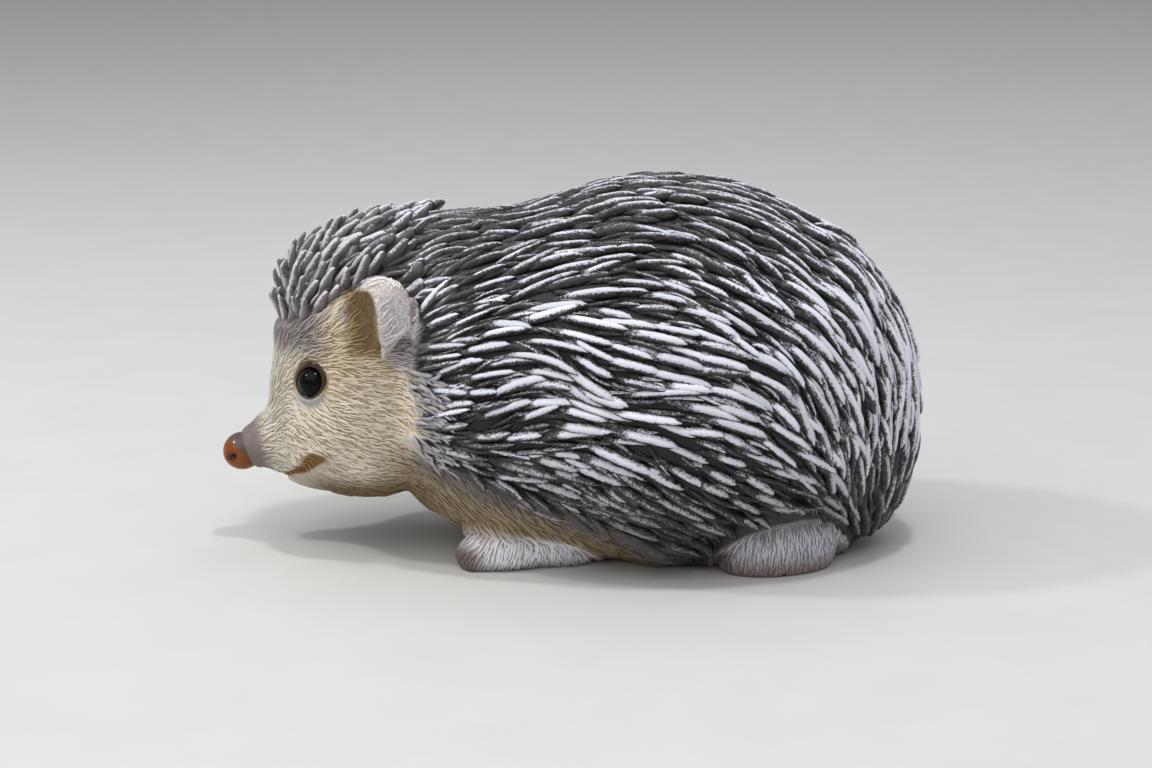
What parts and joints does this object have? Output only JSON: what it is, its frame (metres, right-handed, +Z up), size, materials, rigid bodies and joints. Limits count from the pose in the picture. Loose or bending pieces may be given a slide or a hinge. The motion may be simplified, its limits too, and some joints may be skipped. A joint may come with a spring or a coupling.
{
  "type": "cast resin hedgehog ornament",
  "caption": "Hand-painted cast resin ornament of a crouching hedgehog with a mantle of carved spines and a flat sole that stands on a shelf, bench or ground.",
  "frame": {"origin": "centre of the bounding box in plan, on the floor plane that the sole and feet rest on", "axes": "+Z up; the nose points along -Y, so +Y runs towards the rump; the animal's left side is on +X"},
  "size_m": [0.118, 0.2104, 0.1116],
  "materials": {
    "spines": "dark painted resin, ridges dry-brushed off-white",
    "fur": "cream painted resin with an ochre wash in the carved grooves",
    "feet": "grey-brown painted resin with a dark wash",
    "nose": "gloss varnish over orange-brown paint",
    "eye": "polished black dome"
  },
  "bodies": {
    "root": {"trunk": "spines", "head": "fur", "nose": "nose", "ear_left": "fur", "eye_left": "eye", "foreleg_left": "feet", "hindleg_left": "feet", "ear_right": "fur", "eye_right": "eye", "foreleg_right": "feet", "hindleg_right": "feet"}
  },
  "joints": []
}
